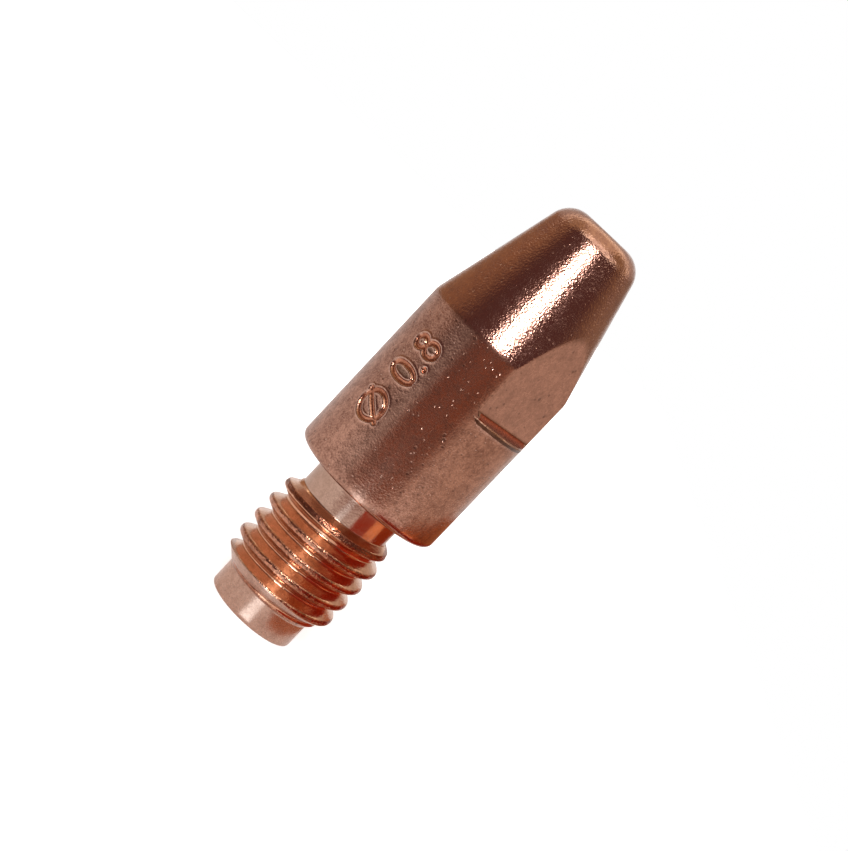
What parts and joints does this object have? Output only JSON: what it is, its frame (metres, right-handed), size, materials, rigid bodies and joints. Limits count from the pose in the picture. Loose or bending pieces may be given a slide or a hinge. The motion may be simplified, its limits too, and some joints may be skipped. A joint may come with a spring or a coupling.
{
  "type": "welding contact tip",
  "caption": "Turned copper contact tip with a threaded shank, a shoulder, spanner flats and a tapered nose; a fine bore along its axis guides welding wire and passes current to it.",
  "frame": {"origin": "centre of the rear end face, which is the lowest face", "axes": "+Z along the axis from the rear end to the nose, +X square to one spanner flat, -Y the stamped side"},
  "size_m": [0.01, 0.0098, 0.03],
  "materials": {
    "copper": "satin tumbled copper alloy"
  },
  "bodies": {
    "root": {"contact_tip": "copper"}
  },
  "joints": []
}
